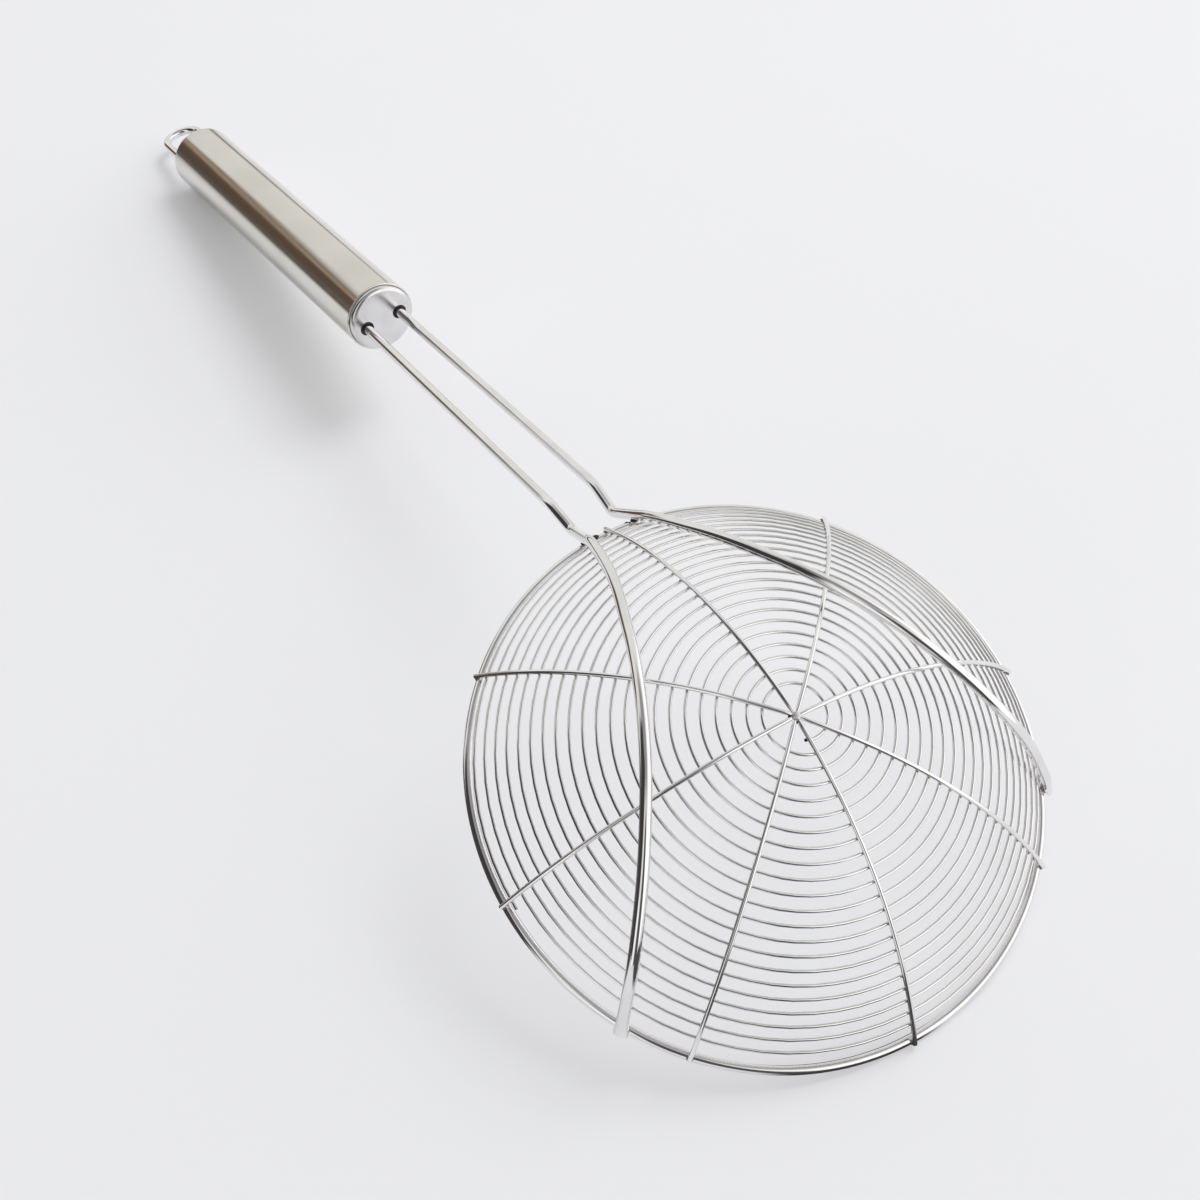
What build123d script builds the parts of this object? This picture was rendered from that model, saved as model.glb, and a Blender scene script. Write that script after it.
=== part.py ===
from build123d import *
import math
import os

# Spider skimmer: a domed basket of one spiral wire and eight ribs inside a rim ring,
# carried by two fork wires on a tube handle with a hanging loop.
# Millimetres, +Z up, handle toward -X, left is +Y. It lies dome up on a worktop, on the
# far side of the rim and the lower rear edge of the handle. The origin is on the
# worktop, under the middle of the length.
# The pieces are first drawn in the basket's frame: rim centre at zero, apex on +Z.

os.makedirs("parts", exist_ok=True)

# Wire diameters, and the clearance between pieces that lie on each other
rim_wire = 2.2
fork_wire = 2.8
rib_wire = 1.1
spiral_wire = 0.8
loop_wire = 2.2
touch = 0.02
thick_sides = 8
thin_sides = 6

# Basket: rim to the centre of its wire, dome to the centre of the ribs at the apex
rim_radius = 68.9
dome_height = 35.7

# Ribs, in order round the dome: how far each strays from the even spacing, in degrees,
# at mid-length and at the rim, and how far they run on past the rim
full_turn = 360
rib_strays = {
    "rib_front": (-1.7, -2.7),
    "rib_front_left": (-2.0, -2.1),
    "rib_left": (-3.6, -6.2),
    "rib_rear_left": (-2.5, -1.6),
    "rib_rear": (0.8, 0.7),
    "rib_rear_right": (-1.1, -1.2),
    "rib_right": (-0.2, 0.0),
    "rib_front_right": (-1.0, -0.8),
}
rib_overrun = 0.3
rib_tip_share = 0.5
crown_share = 0.72
crown_rise = 0.2

# Spiral: its ends, measured along the dome from the apex and from the rim, its angles
# there, how far its middle turns bulge past an even pitch, and how far its inner turns
# lie off centre
spiral_start = 6.0
spiral_end_gap = 2.6
spiral_start_angle = -6
spiral_end_angle = 272
spiral_whole_turns = 21
spiral_bulge = 0.8
spiral_offset = 1.35
spiral_offset_angle = 105
spiral_arcs_per_turn = 2
spiral_step = 0.001

# Fork wires: the crank behind the rim, the neck, the far end and the stand-off
fork_corner_reach = 16.8
fork_corner_drop = 7.9
fork_corner_half = 6.5
fork_corner_bend = 12.0
fork_knee_run = 8.8
fork_knee_bend = 3.2
neck_angle = 6.0
neck_slope = 53.6
neck_heading = 14.4
neck_run = 5.4
fork_end_angle = 59
fork_end_overrun = 0.8
fork_gap = 4.7
fork_depth = 9.5
bend_run_share = 0.45
seat_steps = 8

# Fork route over the dome: along and across in shares of the rim, stand-off in shares
# of the gap
fork_shares = [
    (-0.82, 0.170, 0.14),
    (-0.70, 0.219, 0.28),
    (-0.57, 0.278, 0.40),
    (-0.44, 0.337, 0.66),
    (-0.31, 0.400, 0.85),
    (-0.18, 0.466, 0.96),
    (-0.05, 0.535, 1.00),
    (0.08, 0.608, 0.94),
    (0.20, 0.678, 0.87),
    (0.31, 0.745, 0.74),
    (0.41, 0.807, 0.50),
]

# Handle: its front end lies behind and below the rim's centre, turned a little on its axis
handle_reach = 181.4
handle_drop = 62.9
handle_angle = 30.75
handle_turn = 7
tube_diameter = 21.0
tube_length = 138.0
tube_wall = 0.6
tube_edge = 0.3

# Stamped caps pressed into the tube ends
cap_sheet = 0.8
cap_depth = 8.0
cap_proud = 1.8
cap_edge = 1.3
fork_spacing_share = 0.519
fork_hole_drop = 0.5
fork_hole_clearance = 0.7
loop_hole_clearance = 0.15

# Hanging loop: leg spacing, reach behind the tube and depth inside it
loop_spacing_share = 0.59
loop_reach = 26.2
loop_depth = 7.0

# Welds
weld_bite = 0.25
weld_collar = 0.9
weld_height = 1.6
nugget_share = 0.42

# Worked out from the sizes above
rim_r = rim_wire / 2
fork_r = fork_wire / 2
rib_r = rib_wire / 2
spiral_r = spiral_wire / 2
tube_r = tube_diameter / 2
cap_r = tube_r - tube_wall - touch
cup_r = cap_r - cap_sheet
fork_hole_spacing = tube_diameter * fork_spacing_share
loop_spacing = tube_diameter * loop_spacing_share
rib_step = full_turn / len(rib_strays)

# The skin is the sphere between the ribs outside and the spiral and rim inside it
skin_height = dome_height - rib_r
skin_r = (rim_radius**2 + skin_height**2 - rim_r**2) / (2 * (skin_height - rim_r))
skin_z = skin_height - skin_r
rib_sphere = skin_r + touch + rib_r
spiral_sphere = skin_r - spiral_r
rim_polar = math.asin(rim_radius / (skin_r - rim_r))
spiral_end = spiral_sphere * rim_polar - spiral_end_gap

low = (Align.CENTER, Align.CENTER, Align.MIN)


def on_dome(radius, polar, azimuth):
    """Point at a distance from the dome's centre, a polar angle and an azimuth."""
    across = radius * math.sin(polar)
    up = skin_z + radius * math.cos(polar)
    return Vector(across * math.cos(azimuth), across * math.sin(azimuth), up)


def wire_along(path, diameter, sides):
    """Wire of a faceted round section along a path."""
    start = Plane(origin=path @ 0, z_dir=path % 0)
    return sweep(start * RegularPolygon(diameter / 2, sides), path=path)


def rim_ring():
    """Closed ring of the heaviest basket wire."""
    section = Plane.XZ * Pos(rim_radius, 0) * RegularPolygon(rim_r, thick_sides)
    return revolve(section, Axis.Z)


def narrowest_step():
    """Smallest angle between neighbouring ribs, in radians."""
    strays = [stray for stray, _ in rib_strays.values()]
    changes = [after - before for before, after in zip(strays, strays[1:] + strays[:1])]
    return math.radians(rib_step + min(changes))


# Radius at which neighbouring ribs meet at full size: inside it their tips are swaged
spread = 2 * math.sin(narrowest_step() / 2)
rib_meet = (rib_wire + touch) / spread
rib_tip_radius = rib_meet * rib_tip_share
rib_tip_wire = rib_tip_radius * spread - touch
crown_radius = rib_meet * crown_share


def rib_bow(name):
    """How far a rib's rim end leads its middle, in radians."""
    middle, end = rib_strays[name]
    return math.radians(end - middle)


def rib_angle(name):
    """Angle of a rib's middle from the far side."""
    return rib_step * list(rib_strays).index(name) + rib_strays[name][0]


def rib(name):
    """One rib: an arc over the dome, with a swaged tip at the crown."""
    first = math.asin(rib_meet / rib_sphere)
    last = rim_polar + rib_overrun / rib_sphere
    places = [(first, 0), ((first + last) / 2, 0), (last, rib_bow(name))]
    points = [on_dome(rib_sphere, polar, azimuth) for polar, azimuth in places]
    arc = ThreePointArc(*points).edge()
    root = Plane(origin=arc @ 0, z_dir=arc % 0)
    body = sweep(root * RegularPolygon(rib_r, thin_sides), path=arc)
    tip = root.offset(rib_tip_radius - rib_meet) * RegularPolygon(rib_tip_wire / 2, thin_sides)
    body += loft([tip, root * RegularPolygon(rib_r, thin_sides)])
    return Rot(0, 0, rib_angle(name)) * body


def crown_weld():
    """Round weld that joins the rib tips at the apex."""
    foot = skin_z + rib_sphere - rib_r
    button = Pos(0, 0, foot) * Cylinder(crown_radius, rib_wire + crown_rise, align=low)
    return chamfer(button.edges().sort_by(Axis.Z)[-1], crown_rise)


spiral_part_turn = (spiral_end_angle - spiral_start_angle) / full_turn
spiral_turns = spiral_whole_turns + spiral_part_turn


def spiral_point(turns):
    """Point on the centre of the spiral wire after a number of turns."""
    share = turns / spiral_turns
    azimuth = math.radians(spiral_start_angle) + math.tau * turns
    along = spiral_start + (spiral_end - spiral_start) * share
    along += spiral_bulge * math.sin(math.pi * share)
    off = azimuth - math.radians(spiral_offset_angle)
    along += spiral_offset * (1 - share**2) * math.cos(off)
    return on_dome(spiral_sphere, along / spiral_sphere, azimuth)


def spiral_tangent(turns):
    """Direction of the spiral wire after a number of turns."""
    ahead = spiral_point(turns + spiral_step)
    return (ahead - spiral_point(turns - spiral_step)).normalized()


def biarc(start, start_way, end, end_way):
    """Two tangent arcs from one point and direction to another."""
    chord = end - start
    both = start_way + end_way
    a = 2 * (1 - start_way.dot(end_way))
    b = 2 * chord.dot(both)
    c = -chord.dot(chord)
    reach = (-b + math.sqrt(b * b - 4 * a * c)) / (2 * a)
    joint = (start + start_way * reach + end - end_way * reach) * 0.5
    joint_way = (end - end_way * reach - start - start_way * reach).normalized()
    first = TangentArc(start, joint, tangent=start_way)
    second = TangentArc(joint, end, tangent=joint_way)
    return [first.edge(), second.edge()]


def spiral():
    """The basket's one long wire, wound from the apex out to the rim."""
    count = int(spiral_turns * spiral_arcs_per_turn)
    stops = [spiral_turns * step / count for step in range(count + 1)]
    arcs = []
    for here, there in zip(stops, stops[1:]):
        arcs += biarc(
            spiral_point(here), spiral_tangent(here), spiral_point(there), spiral_tangent(there)
        )
    return wire_along(Wire(arcs), spiral_wire, thin_sides)


def spiral_gap(samples_per_turn=24, slack=3):
    """Least distance between the surfaces of neighbouring turns, measured on points."""
    count = int(spiral_turns * samples_per_turn)
    points = [spiral_point(step / samples_per_turn) for step in range(count + 1)]
    least = math.inf
    for index, point in enumerate(points):
        near = points[index + samples_per_turn - slack : index + samples_per_turn + slack + 1]
        least = min([least] + [(point - other).length for other in near])
    return least - spiral_wire


# Handle frame: front end of the tube, z into the tube and to the rear, y away from
# the worktop
slope = math.radians(handle_angle)
rearward = Vector(-math.cos(slope), 0, -math.sin(slope))
front = Plane(origin=(-handle_reach, 0, -handle_drop), x_dir=(0, -1, 0), z_dir=rearward)
handle = front * Rot(0, 0, -handle_turn)
rear_end = handle * Pos(0, 0, tube_length)


def neck_seat(side):
    """Rim point, fork centre and fork direction where a fork wire crosses the neck."""
    around = math.radians(180 - side * neck_angle)
    rise = math.radians(neck_slope)
    heading = side * math.radians(neck_heading)
    on_rim = Vector(rim_radius * math.cos(around), rim_radius * math.sin(around), 0)
    away = Vector(-math.sin(rise), 0, math.cos(rise))
    way = Vector(
        math.cos(rise) * math.cos(heading), math.cos(rise) * math.sin(heading), math.sin(rise)
    )
    return on_rim, on_rim + away * (rim_r + fork_r + touch), way


def end_seat(side, before):
    """Rim point and fork centre where a fork wire, coming from a point, ends on the rim."""
    around = math.radians(side * fork_end_angle)
    on_rim = Vector(rim_radius * math.cos(around), rim_radius * math.sin(around), 0)
    along_rim = Vector(-math.sin(around), math.cos(around), 0)
    centre = on_rim
    for _ in range(seat_steps):
        away = along_rim.cross(centre - before).normalized()
        away = away if away.dot(on_rim) > 0 else away * -1
        centre = on_rim + away * (rim_r + fork_r + touch)
    return on_rim, centre


def over_dome(along_share, across_share, gap_share, side):
    """Point of the fork route at its stand-off from the skin."""
    x = rim_radius * along_share
    y = rim_radius * across_share
    radius = skin_r + fork_r + fork_gap * gap_share
    return Vector(x, side * y, skin_z + math.sqrt(radius**2 - x**2 - y**2))


def fork_points(side):
    """Corners of a fork wire's route, from inside the handle to the far rim."""
    hole = handle * Pos(-side * fork_hole_spacing / 2, -fork_hole_drop, -cap_proud)
    corner = Vector(
        -rim_radius - fork_corner_reach, side * fork_corner_half, -fork_corner_drop
    )
    inward = (hole.position - corner).normalized()
    inside = hole.position + inward * fork_depth
    _, seat, way = neck_seat(side)
    points = [inside, corner, seat - way * fork_knee_run, seat + way * neck_run]
    points += [over_dome(*row, side) for row in fork_shares]
    _, end = end_seat(side, points[-1])
    points.append(end + (end - points[-1]).normalized() * fork_end_overrun)
    return points


def fork_wire_piece(side):
    """One fork wire: straight shank, crank at the neck and long bow over the dome."""
    points = fork_points(side)
    radii = []
    for before, at, after in zip(points, points[1:], points[2:]):
        turn = math.radians((at - before).get_angle(after - at))
        run = min((at - before).length, (after - at).length)
        radii.append(bend_run_share * run / math.tan(turn / 2))
    radii[0] = min(radii[0], fork_corner_bend)
    radii[1] = min(radii[1], fork_knee_bend)
    path = FilletPolyline(*points, radius=radii).wire()
    return wire_along(path, fork_wire, thick_sides)


def nugget(start, end, diameter):
    """Weld nugget between the centres of two wires, biting into both."""
    way = (end - start).normalized()
    foot = start + way * (rim_r - weld_bite)
    plane = Plane(origin=foot, z_dir=way)
    return plane * extrude(RegularPolygon(diameter / 2, thin_sides), 2 * weld_bite + touch)


def rim_rib_welds():
    """Spot welds of the ribs on the rim."""
    start = on_dome(skin_r - rim_r, rim_polar, 0)
    end = on_dome(rib_sphere, rim_polar, 0)
    spot = nugget(start, end, rib_wire * nugget_share * 2)
    turns = [rib_angle(name) + math.degrees(rib_bow(name)) for name in rib_strays]
    return Part(children=[Rot(0, 0, turn) * spot for turn in turns])


def rim_fork_welds():
    """Welds of the fork wires on the rim, at the neck and at the far ends."""
    spots = []
    for side in (1, -1):
        on_rim, centre, _ = neck_seat(side)
        spots.append(nugget(on_rim, centre, rim_wire * nugget_share * 2))
        on_rim, centre = end_seat(side, fork_points(side)[-2])
        spots.append(nugget(on_rim, centre, rim_wire * nugget_share * 2))
    return Part(children=spots)


def tube():
    """Handle tube with softened outer end edges, along z of the handle frame."""
    body = Cylinder(tube_r, tube_length, align=low)
    body -= Cylinder(tube_r - tube_wall, tube_length, align=low)
    circles = body.edges().filter_by(GeomType.CIRCLE)
    outer = [edge for edge in circles if edge.radius > tube_r - tube_wall / 2]
    return chamfer(outer, tube_edge)


def cap(hole_places, hole_diameter):
    """Stamped cup for a tube end: z runs into the tube and the face stands proud."""
    face = Pos(0, 0, -cap_proud)
    length = cap_proud + cap_depth
    cup = face * Cylinder(cap_r, length, align=low)
    cup = fillet(cup.edges().filter_by(GeomType.CIRCLE).sort_by(Axis.Z)[0], cap_edge)
    cup -= face * Pos(0, 0, cap_sheet) * Cylinder(cup_r, length, align=low)
    for x, y in hole_places:
        cup -= Pos(x, y, -cap_proud) * Cylinder(hole_diameter / 2, length, align=low)
    return cup


def hanging_loop():
    """Round wire bent to a U, legs inside the rear cap, z to the rear from the tube end."""
    half = loop_spacing / 2
    straight = loop_reach - loop_wire / 2 - half
    turns = [
        Line((-half, 0, -loop_depth), (-half, 0, straight)),
        ThreePointArc((-half, 0, straight), (0, 0, straight + half), (half, 0, straight)),
        Line((half, 0, straight), (half, 0, -loop_depth)),
    ]
    return wire_along(Wire([turn.edge() for turn in turns]), loop_wire, thick_sides)


def collars(places, wire_diameter, hole_diameter):
    """Weld collars round two wires on the inner face of a cap, z into the tube."""
    foot = cap_sheet - cap_proud - weld_bite
    section = RegularPolygon(hole_diameter / 2 + weld_collar, thin_sides)
    section -= RegularPolygon(wire_diameter / 2 - weld_bite, thin_sides)
    collar = extrude(section, weld_height)
    return Part(children=[Pos(x, y, foot) * collar for x, y in places])


fork_half = fork_hole_spacing / 2
loop_half = loop_spacing / 2
fork_holes = [(-fork_half, -fork_hole_drop), (fork_half, -fork_hole_drop)]
loop_holes = [(-loop_half, 0), (loop_half, 0)]
fork_hole = fork_wire + 2 * fork_hole_clearance
loop_hole = loop_wire + 2 * loop_hole_clearance
into_rear = rear_end * Rot(0, 180, 0)

pieces = {
    "rim_ring": rim_ring(),
    "spiral_wire": spiral(),
    "crown_weld": crown_weld(),
    "rim_rib_welds": rim_rib_welds(),
    "rim_fork_welds": rim_fork_welds(),
    "fork_wire_left": fork_wire_piece(1),
    "fork_wire_right": fork_wire_piece(-1),
    "handle_tube": handle * tube(),
    "front_cap": handle * cap(fork_holes, fork_hole),
    "rear_cap": into_rear * cap(loop_holes, loop_hole),
    "fork_welds": handle * collars(fork_holes, fork_wire, fork_hole),
    "loop_welds": into_rear * collars(loop_holes, loop_wire, loop_hole),
    "hanging_loop": rear_end * hanging_loop(),
}
for name in rib_strays:
    pieces[name] = rib(name)

# Rest on the worktop: the line under the far side of the rim and the tube's rear edge
rear_edge = front * Pos(0, -tube_r, tube_length - tube_edge)
apart_x = rim_radius - rear_edge.position.X
apart_z = -rear_edge.position.Z
lean = math.atan2(apart_z, apart_x) - math.asin(rim_r / math.hypot(apart_x, apart_z))
lay = Rot(0, math.degrees(lean), 0)
boxes = [(lay * piece).bounding_box() for piece in pieces.values()]
middle_x = (min(box.min.X for box in boxes) + max(box.max.X for box in boxes)) / 2
middle_y = (min(box.min.Y for box in boxes) + max(box.max.Y for box in boxes)) / 2
lowest = min(box.min.Z for box in boxes)
place = Pos(-middle_x, -middle_y, -lowest) * lay

for name, piece in pieces.items():
    export_step(place * piece, f"parts/{name}.step")

print(f"dome skin radius {skin_r:.2f}, rim plane tilted {math.degrees(lean):.2f} degrees")
print(f"spiral of {spiral_turns:.2f} turns, least gap to itself {spiral_gap():.2f} mm")
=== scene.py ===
"""Looks of a wire spider skimmer lying dome up on a pale studio floor.

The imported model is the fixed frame. Every wire, the tube and its caps are remade round and
smooth in the same places, the welds get their own beads, and each piece gets its finish.
"""

import logging
import math
import random
from dataclasses import dataclass, field
from enum import Enum

import bpy
from bpy.types import Material, Node, NodeSocket, Object, World
from mathutils import Matrix, Vector


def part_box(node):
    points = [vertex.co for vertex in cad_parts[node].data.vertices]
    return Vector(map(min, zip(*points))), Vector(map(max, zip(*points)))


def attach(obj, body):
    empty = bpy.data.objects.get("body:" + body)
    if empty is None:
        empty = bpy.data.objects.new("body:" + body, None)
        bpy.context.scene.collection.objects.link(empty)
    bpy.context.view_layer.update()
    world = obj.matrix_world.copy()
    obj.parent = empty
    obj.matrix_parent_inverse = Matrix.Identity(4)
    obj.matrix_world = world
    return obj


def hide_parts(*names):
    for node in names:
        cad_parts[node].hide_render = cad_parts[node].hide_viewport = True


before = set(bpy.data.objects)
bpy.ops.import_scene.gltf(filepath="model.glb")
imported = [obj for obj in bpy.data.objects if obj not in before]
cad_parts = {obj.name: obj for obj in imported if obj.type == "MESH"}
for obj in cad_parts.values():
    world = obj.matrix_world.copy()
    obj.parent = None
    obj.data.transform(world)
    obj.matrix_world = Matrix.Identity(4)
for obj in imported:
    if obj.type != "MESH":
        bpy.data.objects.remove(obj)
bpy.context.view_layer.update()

log = logging.getLogger("skimmer")
MM = 0.001
ROOT = "root"
Pair = tuple[float, float]
Triple = tuple[float, float, float]
Colour = Triple
Value = NodeSocket | float | tuple[float, ...]


class Finish(Enum):
    """The finishes on the skimmer. All but the near-black one have a slot of their own."""

    HANDLE = "handle_steel"
    CAP = "cap_steel"
    LOOP = "loop_steel"
    WIRE = "wire_steel"
    WELD = "weld_steel"
    # Near-black: painted shade on the collars seen through the cap holes, and the colour of the
    # dark neck welds, crown spots and spiral start.
    BURNT = "near_black_and_hole_shade"

    @property
    def slot(self) -> str:
        """The record's slot that the finish belongs to."""
        return Finish.WELD.value if self is Finish.BURNT else self.value


class Net:
    """The nodes of a material or of the room."""

    def __init__(self, owner: Material | World) -> None:
        """Turns the owner's nodes on."""
        owner.use_nodes = True
        self.tree = owner.node_tree

    def get(self, name: str) -> Node:
        """One of the nodes that the owner has from the start."""
        return self.tree.nodes[name]

    def link(self, source: NodeSocket, target: NodeSocket) -> None:
        """Feeds an input."""
        self.tree.links.new(source, target)

    def add(self, kind: str, inputs: dict[str | int, Value] | None = None, **settings: str) -> Node:
        """Adds a node.

        Args:
            kind: Its type.
            inputs: The socket that feeds an input, or the input's own value.
            **settings: Its settings.

        Returns:
            The new node.
        """
        made = self.tree.nodes.new(kind)
        for setting, value in settings.items():
            setattr(made, setting, value)
        for key, value in (inputs or {}).items():
            if isinstance(value, NodeSocket):
                self.link(value, made.inputs[key])
            else:
                made.inputs[key].default_value = value
        return made

    def math(self, operation: str, *values: Value) -> NodeSocket:
        """Result of a math node that takes values in order."""
        made = self.add("ShaderNodeMath", dict(enumerate(values)), operation=operation)
        return made.outputs["Value"]

    def vector(self, operation: str, *values: Value) -> Node:
        """Adds a vector math node that takes values in order."""
        return self.add("ShaderNodeVectorMath", dict(enumerate(values)), operation=operation)

    def mix(self, share: Value, first: Value, second: Value) -> NodeSocket:
        """Mixes two colours. A share of 1 is all the second."""
        made = self.add("ShaderNodeMix", {"Factor": share, "A": first, "B": second},
                        data_type="RGBA")
        return made.outputs["Result"]

    def ease(self, value: Value, span: Pair, ends: Pair = (0.0, 1.0)) -> NodeSocket:
        """Runs smoothly between two ends while a value crosses a span."""
        made = self.add("ShaderNodeMapRange", {
            "Value": value, "From Min": span[0], "From Max": span[1], "To Min": ends[0],
            "To Max": ends[1]}, interpolation_type="SMOOTHSTEP")
        return made.outputs["Result"]

    def ramp(self, value: Value, *stops: tuple[float, Colour]) -> NodeSocket:
        """Runs a value through two colours.

        Args:
            value: The value.
            *stops: Place and colour of the two stops.

        Returns:
            The colour.
        """
        made = self.add("ShaderNodeValToRGB", {"Fac": value})
        for stop, (spot, colour) in zip(made.color_ramp.elements, stops):
            stop.position = spot
            stop.color = (*colour, 1.0)
        return made.outputs["Color"]


@dataclass(frozen=True)
class Steel:
    """Bare stainless steel with grain, fine wear and uneven polish.

    Attributes:
        finish: Which finish it is.
        bright: Colour of the clean metal.
        dull: Colour where the polish is thin or heat has tinted it.
        roughness: Least and most roughness.
        grain: Noise cells in a metre along x, y and z of the piece, after the turn.
        turn: Turn of the grain about y, in degrees.
        relief: Height of the grain, in metres.
        patches: Cells in a metre of the slow change from bright to dull.
        dull_share: Share of the surface, roughly, that is dull.
        detail: Octaves of the grain's noise and of the slow change.
        grain_roughness: Roughness of the grain's noise.
        spread: Noise values at the most and the least roughness.
    """

    finish: Finish
    bright: Colour
    dull: Colour
    roughness: Pair
    grain: Triple
    turn: float = 0.0
    relief: float = 0.00001
    patches: float = 60.0
    dull_share: float = 0.4
    detail: Pair = (6.0, 4.0)
    grain_roughness: float = 0.62
    spread: Pair = (0.35, 0.65)

    def material(self) -> Material:
        """Makes the node material.

        Returns:
            The new material.
        """
        made = bpy.data.materials.new(self.finish.value)
        net = Net(made)
        place = net.add("ShaderNodeTexCoord").outputs["Object"]
        lay = net.add("ShaderNodeMapping", {
            "Vector": place, "Rotation": (0.0, math.radians(self.turn), 0.0)}).outputs["Vector"]
        stretch = net.add("ShaderNodeMapping", {"Vector": lay, "Scale": self.grain})
        grain = net.add("ShaderNodeTexNoise", {
            "Vector": stretch.outputs["Vector"], "Scale": 1.0, "Detail": self.detail[0],
            "Roughness": self.grain_roughness}).outputs["Fac"]
        bump = net.add("ShaderNodeBump", {"Height": grain, "Strength": 1.0,
                                          "Distance": self.relief})
        slow = net.add("ShaderNodeTexNoise", {
            "Vector": place, "Scale": self.patches, "Detail": self.detail[1]}).outputs["Fac"]
        tint = net.ramp(slow, (0.5 - 0.3 * self.dull_share, self.dull),
                        (0.5 + 0.2 * (1.0 - self.dull_share), self.bright))
        both = net.add("ShaderNodeMix", {"Factor": 0.5, "A": grain, "B": slow},
                        data_type="FLOAT")
        polish = net.add("ShaderNodeMapRange", {
            "Value": both.outputs["Result"], "From Min": self.spread[0],
            "From Max": self.spread[1], "To Min": self.roughness[1], "To Max": self.roughness[0]})
        shader = net.get("Principled BSDF")
        shader.inputs["Metallic"].default_value = 1.0
        net.link(tint, shader.inputs["Base Color"])
        net.link(polish.outputs["Result"], shader.inputs["Roughness"])
        net.link(bump.outputs["Normal"], shader.inputs["Normal"])
        return made


FINISHES = {
    steel.finish: steel
    for steel in (
        Steel(Finish.HANDLE, (0.76, 0.74, 0.69), (0.71, 0.69, 0.635), (0.1, 0.16),
              (90.0, 2600.0, 2600.0), turn=9.5, relief=0.000004, patches=34.0),
        Steel(Finish.CAP, (0.80, 0.79, 0.80), (0.73, 0.72, 0.73), (0.17, 0.27),
              (1400.0, 1400.0, 1400.0), relief=0.000003, patches=160.0),
        Steel(Finish.LOOP, (0.88, 0.872, 0.87), (0.81, 0.80, 0.80), (0.03, 0.07),
              (1200.0, 1200.0, 1200.0), relief=0.000002, patches=140.0),
        Steel(Finish.WIRE, (0.88, 0.872, 0.87), (0.81, 0.80, 0.80), (0.03, 0.07),
              (1100.0, 1100.0, 1100.0), relief=0.000002, patches=90.0),
        Steel(Finish.WELD, (0.30, 0.28, 0.26), (0.035, 0.03, 0.028), (0.25, 0.45),
              (2600.0, 2600.0, 2600.0), relief=0.00004, patches=700.0, dull_share=0.8),
        # Near-black: on the collars inside the caps it is painted shade in the holes; on the neck
        # welds, crown spots and spiral start it only makes them near-black.
        Steel(Finish.BURNT, (0.07, 0.06, 0.055), (0.012, 0.011, 0.01), (0.35, 0.6),
              (2600.0, 2600.0, 2600.0), relief=0.00006, patches=900.0, dull_share=0.9),
    )
}


def deselect_all() -> None:
    """Leaves nothing selected, so that an operator acts on the new piece alone."""
    bpy.ops.object.select_all(action="DESELECT")


def pick(piece: Object) -> None:
    """Selects one piece alone and makes it active.

    Args:
        piece: The piece.
    """
    deselect_all()
    piece.select_set(True)
    bpy.context.view_layer.objects.active = piece


def smooth(piece: Object, angle: float = 40.0) -> None:
    """Shades a piece smooth except at edges sharper than an angle in degrees."""
    pick(piece)
    bpy.ops.object.shade_smooth_by_angle(angle=math.radians(angle))


def settle(piece: Object, place: Matrix) -> None:
    """Moves a piece drawn in its own frame to its place, and keeps the place in its mesh.

    Args:
        piece: The piece.
        place: Its own frame in the part's.
    """
    pick(piece)
    piece.matrix_world = place
    bpy.ops.object.transform_apply(location=True, rotation=True, scale=True)


def soften(piece: Object, width: float, segments: int, angle: float) -> None:
    """Adds a bevel to a piece's edges.

    Args:
        piece: The piece.
        width: The bevel's width, in metres.
        segments: Faces across it.
        angle: Edges sharper than this get it, in degrees.
    """
    edge = piece.modifiers.new("edge", "BEVEL")
    edge.width = width
    edge.segments = segments
    edge.limit_method = "ANGLE"
    edge.angle_limit = math.radians(angle)


def thicken(piece: Object, wall: float) -> None:
    """Gives an open shell a wall, inwards.

    Args:
        piece: The shell.
        wall: The wall's thickness, in metres.
    """
    solid = piece.modifiers.new("wall", "SOLIDIFY")
    solid.thickness = wall
    solid.offset = -1.0


def apply_all(piece: Object) -> None:
    """Applies every modifier of a piece, in order.

    Args:
        piece: The piece.
    """
    pick(piece)
    for modifier in list(piece.modifiers):
        bpy.ops.object.modifier_apply(modifier=modifier.name)


def even_shading(piece: Object) -> None:
    """Lets a piece's large faces rule its shading, so that what they mirror runs straight.

    Args:
        piece: The piece.
    """
    even = piece.modifiers.new("even", "WEIGHTED_NORMAL")
    even.weight = 100
    even.keep_sharp = True
    apply_all(piece)


def join(pieces: list[Object], name: str) -> Object:
    """Joins pieces into one.

    Args:
        pieces: The pieces.
        name: The new name.

    Returns:
        The joined piece.
    """
    pick(pieces[0])
    for piece in pieces:
        piece.select_set(True)
    bpy.ops.object.join()
    pieces[0].name = name
    return pieces[0]


def round_wire(name: str, points: list[Vector], diameter: float, sides: int = 12,
               closed: bool = False, widths: list[float] | None = None) -> Object:
    """Draws a wire of round section through points.

    Args:
        name: The piece's name.
        points: Points of its centre line, in metres.
        diameter: The wire's diameter, in metres.
        sides: Sides of the section, an even number from 4.
        closed: Whether it is a ring.
        widths: The diameter at each point as a share of the full one.

    Returns:
        The wire, as a mesh.
    """
    deselect_all()
    bpy.ops.curve.primitive_nurbs_path_add(location=(0.0, 0.0, 0.0))
    wire = bpy.context.object
    wire.name = name
    curve = wire.data
    curve.splines.clear()
    line = curve.splines.new("POLY")
    line.points.add(len(points) - 1)
    for spot, point in zip(line.points, points):
        spot.co = (*point, 1.0)
    for spot, width in zip(line.points, widths or []):
        spot.radius = width
    line.use_cyclic_u = closed
    curve.dimensions = "3D"
    curve.twist_mode = "MINIMUM"
    curve.use_fill_caps = not closed
    curve.bevel_depth = diameter / 2
    curve.bevel_resolution = (sides - 4) // 2
    bpy.ops.object.convert(target="MESH")
    wire = bpy.context.object
    smooth(wire)
    return wire


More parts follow.
